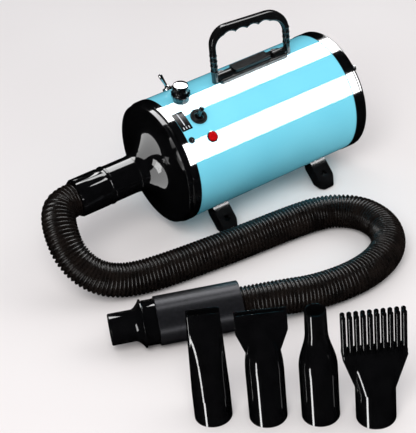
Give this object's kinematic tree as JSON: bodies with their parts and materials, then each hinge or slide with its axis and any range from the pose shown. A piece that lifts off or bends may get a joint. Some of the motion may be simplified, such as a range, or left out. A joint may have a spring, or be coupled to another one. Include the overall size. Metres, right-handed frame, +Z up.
{
  "type": "pet dryer",
  "caption": "Cylinder pet dryer with a carrying handle, corrugated hose, handset and interchangeable nozzles.",
  "frame": {"origin": "on the floor, midway between the four feet, under the middle of the painted body", "axes": "+X along the motor axis to the air intake, -Y the side with the controls, +Z up"},
  "size_m": [0.488, 0.5716, 0.2602],
  "materials": {
    "blue_enamel": "gloss baked enamel",
    "black_gloss_abs": "high gloss moulded ABS",
    "black_nylon": "satin moulded nylon",
    "hose_pvc": "corrugated PVC",
    "grip_satin": "satin dark grey",
    "chrome_plate": "bright chrome",
    "steel": "zinc-plated steel",
    "rubber_black": "moulded rubber",
    "lamp_red": "red lens",
    "label_black": "printed film",
    "foam_grey": "open-cell foam",
    "motor_iron": "laminated steel",
    "cast_alloy": "die-cast aluminium",
    "mica": "mica sheet",
    "heater_wire": "resistance wire",
    "board_green": "solder mask"
  },
  "bodies": {
    "housing": {"body_shell": "blue_enamel", "front_ring": "black_gloss_abs", "front_cone": "black_gloss_abs", "rear_ring": "black_gloss_abs", "rear_cover": "black_gloss_abs", "casing_screws": "steel", "filter_foam": "foam_grey", "filter_frame": "black_nylon", "cable_gland": "black_nylon", "hose_cuff_inner": "black_gloss_abs", "hose_cuff_outer": "black_gloss_abs", "hose": "hose_pvc", "grip_sleeve": "grip_satin", "grip_core": "black_gloss_abs", "handset_adaptor": "black_gloss_abs", "handle_base": "black_nylon", "handle_pins": "steel", "speed_control": "black_nylon", "heat_switch_boot": "rubber_black", "heat_switch_body": "black_nylon", "power_switch_nut": "chrome_plate", "power_switch_body": "black_nylon", "lamp_bezel": "chrome_plate", "lamp_lens": "lamp_red", "label_plate": "label_black", "foot_front_near": "black_nylon", "foot_front_far": "black_nylon", "foot_rear_near": "black_nylon", "foot_rear_far": "black_nylon", "foot_pads": "rubber_black", "foot_screws": "steel", "motor_stator": "motor_iron", "motor_bearings": "steel", "carbon_brushes": "black_nylon", "motor_bracket_front": "cast_alloy", "motor_bracket_rear": "cast_alloy", "fan_shroud": "cast_alloy", "motor_mount_front": "rubber_black", "motor_mount_rear": "rubber_black", "foam_liner": "foam_grey", "heater_coil": "heater_wire", "heater_frame": "mica", "heater_duct": "steel", "thermal_cutout": "black_nylon", "control_board": "board_green", "heat_sink": "cast_alloy", "board_posts": "steel"},
    "handle": {"handle_bail": "black_nylon"},
    "knob": {"speed_knob": "black_gloss_abs", "knob_cap": "chrome_plate", "knob_shaft": "steel"},
    "heat_lever": {"heat_switch_lever": "rubber_black"},
    "power_lever": {"power_switch_lever": "chrome_plate"},
    "rotor": {"motor_rotor": "motor_iron", "motor_shaft": "steel", "fan_impeller": "cast_alloy"},
    "flat_nozzle": {"flat_nozzle": "black_gloss_abs"},
    "fan_nozzle": {"fan_nozzle": "black_gloss_abs"},
    "round_nozzle": {"round_nozzle": "black_gloss_abs"},
    "comb_nozzle": {"comb_nozzle": "black_gloss_abs"}
  },
  "joints": [
    {"name": "handle_fold", "type": "hinge", "parent": "housing", "child": "handle", "pos_m": [0.017, -0.003, 0.189], "axis": [1, 0, 0], "range_deg": [-90, 90]},
    {"name": "knob_turn", "type": "hinge", "parent": "housing", "child": "knob", "pos_m": [-0.0985, -0.00977, 0.18192], "axis": [0, -0.1184, 0.993], "range_deg": [-135, 135]},
    {"name": "heat_toggle", "type": "hinge", "parent": "housing", "child": "heat_lever", "pos_m": [-0.0943, -0.04086, 0.16936], "axis": [0, 0.8616, 0.5075], "range_deg": [-12, 12]},
    {"name": "power_toggle", "type": "hinge", "parent": "housing", "child": "power_lever", "pos_m": [-0.086, 0.03903, 0.17041], "axis": [0, 0.8746, -0.4848], "range_deg": [0, 24]},
    {"name": "motor_spin", "type": "hinge", "parent": "housing", "child": "rotor", "pos_m": [0, 0, 0.1], "axis": [1, 0, 0], "continuous": true},
    {"name": "flat_nozzle_lift", "type": "slide", "parent": "housing", "child": "flat_nozzle", "axis": [0, 0, 1], "range_m": [0, 0.08]},
    {"name": "fan_nozzle_lift", "type": "slide", "parent": "housing", "child": "fan_nozzle", "axis": [0, 0, 1], "range_m": [0, 0.08]},
    {"name": "round_nozzle_lift", "type": "slide", "parent": "housing", "child": "round_nozzle", "axis": [0, 0, 1], "range_m": [0, 0.08]},
    {"name": "comb_nozzle_lift", "type": "slide", "parent": "housing", "child": "comb_nozzle", "axis": [0, 0, 1], "range_m": [0, 0.08]}
  ]
}
